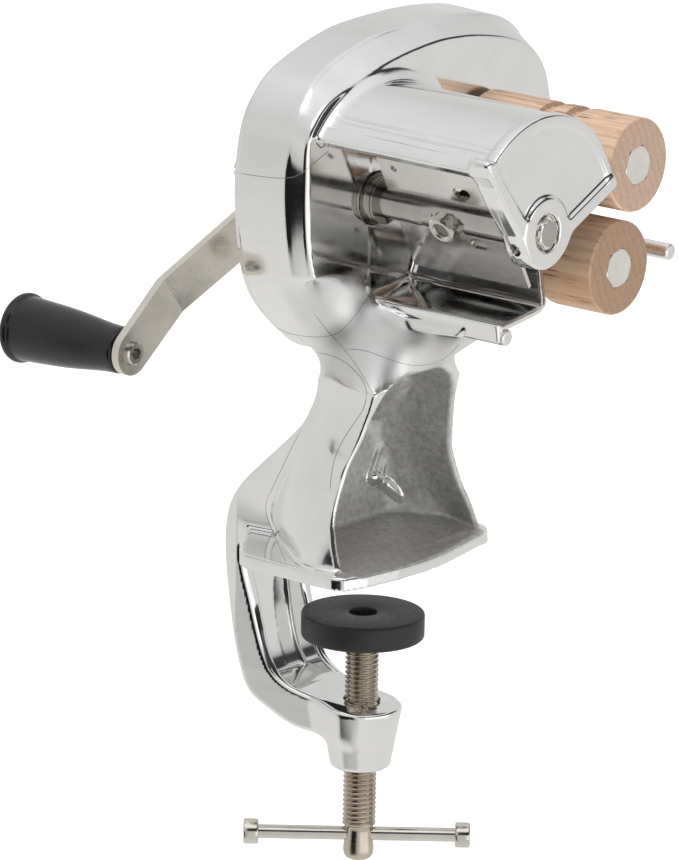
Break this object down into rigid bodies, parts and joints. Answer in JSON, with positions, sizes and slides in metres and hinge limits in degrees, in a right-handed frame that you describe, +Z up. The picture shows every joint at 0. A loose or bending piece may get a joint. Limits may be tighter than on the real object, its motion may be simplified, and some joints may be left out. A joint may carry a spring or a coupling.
{
  "type": "cavatelli maker",
  "caption": "Hand cranked cavatelli maker: cast housing with hood and trough, two wooden feed rollers, turning cutter blades, gear train and a screw clamp for the table.",
  "frame": {"origin": "centre of the table seat (underside of the foot), on the axis of the clamp screw", "axes": "+Z up along the clamp screw; +X along the crank shaft from the crank to the free ends of the rollers; +Y from the outlet trough towards the feed rollers"},
  "size_m": [0.1816, 0.1791, 0.2961],
  "materials": {
    "cast_aluminium": "cast and mirror polished outside, matt as cast inside",
    "nickel_steel": "nickel plated, satin",
    "clamp_nickel": "nickel plated, slightly warm",
    "blade_steel": "stainless sheet, fine brushed",
    "dark_steel": "plain steel, lightly oiled",
    "bearing_bronze": "sintered bronze",
    "beech": "turned, fine sanded, unvarnished",
    "handle_plastic": "glossy black",
    "pad_plastic": "satin black"
  },
  "bodies": {
    "frame": {"gear_case": "cast_aluminium", "rear_cover": "cast_aluminium", "cover_screws": "nickel_steel", "rotor_hood": "cast_aluminium", "hub_bush": "bearing_bronze", "hub_set_screw": "dark_steel", "outlet_trough": "cast_aluminium", "outlet_rod": "nickel_steel", "infeed_guide_rod": "nickel_steel", "pedestal": "cast_aluminium", "clamp_frame": "cast_aluminium", "crank_front_bush": "bearing_bronze", "crank_rear_bush": "bearing_bronze", "intermediate_shaft": "dark_steel", "roller_front_bushes": "bearing_bronze", "roller_rear_bushes": "bearing_bronze"},
    "crank": {"crank_shaft": "nickel_steel", "crank_thrust_washers": "dark_steel", "cutter_blade": "blade_steel", "blade_bolt": "nickel_steel", "blade_nut": "nickel_steel", "drive_pinion": "dark_steel", "crank_arm": "nickel_steel", "crank_nut": "nickel_steel"},
    "handle": {"handle_grip": "handle_plastic", "handle_insert": "bearing_bronze", "handle_screw": "nickel_steel", "handle_washer": "nickel_steel"},
    "intermediate": {"intermediate_gear": "dark_steel", "intermediate_pinion": "dark_steel"},
    "upper_shaft": {"upper_roller_shaft": "nickel_steel", "roller_drive_gear": "dark_steel", "upper_sync_gear": "dark_steel", "upper_shaft_clip": "dark_steel"},
    "lower_shaft": {"lower_roller_shaft": "nickel_steel", "lower_sync_gear": "dark_steel", "lower_shaft_clip": "dark_steel"},
    "upper_wood_roller": {"upper_roller": "beech"},
    "lower_wood_roller": {"lower_roller": "beech"},
    "pad": {"clamp_pad": "pad_plastic"},
    "screw": {"clamp_screw": "clamp_nickel", "pad_clip": "dark_steel"},
    "bar": {"tbar": "clamp_nickel", "tbar_caps": "clamp_nickel"}
  },
  "joints": [
    {"name": "crank_turn", "type": "hinge", "parent": "frame", "child": "crank", "pos_m": [0, 0, 0.1274], "axis": [1, 0, 0], "continuous": true},
    {"name": "handle_spin", "type": "hinge", "parent": "crank", "child": "handle", "pos_m": [-0.078, -0.06517, 0.07519], "axis": [1, 0, 0], "continuous": true},
    {"name": "intermediate_turn", "type": "hinge", "parent": "frame", "child": "intermediate", "pos_m": [-0.015, 0.023, 0.14892], "axis": [1, 0, 0], "continuous": true},
    {"name": "upper_roller_turn", "type": "hinge", "parent": "frame", "child": "upper_shaft", "pos_m": [0, 0.058, 0.1405], "axis": [1, 0, 0], "continuous": true},
    {"name": "lower_roller_turn", "type": "hinge", "parent": "frame", "child": "lower_shaft", "pos_m": [0, 0.0488, 0.10569], "axis": [1, 0, 0], "continuous": true},
    {"name": "upper_roller_pull", "type": "slide", "parent": "upper_shaft", "child": "upper_wood_roller", "axis": [1, 0, 0], "range_m": [0, 0.072]},
    {"name": "lower_roller_pull", "type": "slide", "parent": "lower_shaft", "child": "lower_wood_roller", "axis": [1, 0, 0], "range_m": [0, 0.072]},
    {"name": "clamp_travel", "type": "slide", "parent": "frame", "child": "pad", "axis": [0, 0, 1], "range_m": [-0.0187, 0.0205]},
    {"name": "clamp_turn", "type": "hinge", "parent": "pad", "child": "screw", "pos_m": [0, 0, -0.06], "axis": [0, 0, 1], "range_deg": [-3800, 4200]},
    {"name": "tbar_slide", "type": "slide", "parent": "screw", "child": "bar", "axis": [0.7741, 0.6331, 0], "range_m": [-0.028, 0.029]}
  ],
  "couplings": [
    {"joint": "intermediate_turn", "follows": "crank_turn", "ratio": -0.4},
    {"joint": "upper_roller_turn", "follows": "crank_turn", "ratio": 0.13333},
    {"joint": "lower_roller_turn", "follows": "crank_turn", "ratio": -0.13333},
    {"joint": "clamp_travel", "follows": "clamp_turn", "m_per_rad": 0.00027852}
  ]
}
